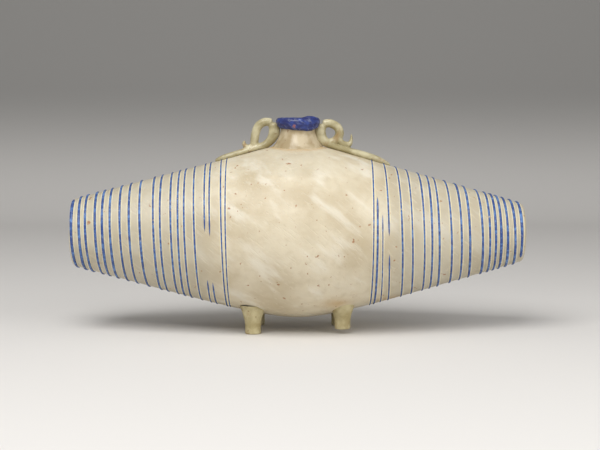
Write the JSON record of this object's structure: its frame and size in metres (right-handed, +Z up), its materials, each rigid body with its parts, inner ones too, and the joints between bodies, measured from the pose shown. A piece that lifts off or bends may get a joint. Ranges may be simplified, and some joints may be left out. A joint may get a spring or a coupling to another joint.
{
  "type": "barrel-shaped flask",
  "caption": "Barrel-shaped blown glass flask that lies on small pulled feet, with a short neck and coiled rim between loop handles, and thin trails wound round its body.",
  "frame": {"origin": "on the ground under the middle of the body, at the centre of the base of the part's box", "axes": "+X along the body, +Z up out of the neck, -Y towards the side that the picture shows"},
  "size_m": [0.19, 0.071, 0.0899],
  "materials": {
    "body_glass": "weathered cream glass, satin with pearly patches",
    "neck_glass": "weathered tan glass, satin",
    "handle_glass": "greenish tan glass, glossy",
    "foot_glass": "olive yellow glass, glossy",
    "trail_glass": "cobalt blue glass thread, glossy",
    "rim_glass": "deep cobalt blue glass, streaky, glossy"
  },
  "bodies": {
    "root": {"blown_body": "body_glass", "neck": "neck_glass", "rim_coil": "rim_glass", "left_handle": "handle_glass", "right_handle": "handle_glass", "front_left_foot": "foot_glass", "front_right_foot": "foot_glass", "back_left_foot": "foot_glass", "back_right_foot": "foot_glass", "left_trail": "trail_glass", "left_trail_second": "trail_glass", "left_trail_inner": "trail_glass", "right_trail_start": "trail_glass", "right_trail_second": "trail_glass", "right_trail": "trail_glass"}
  },
  "joints": []
}
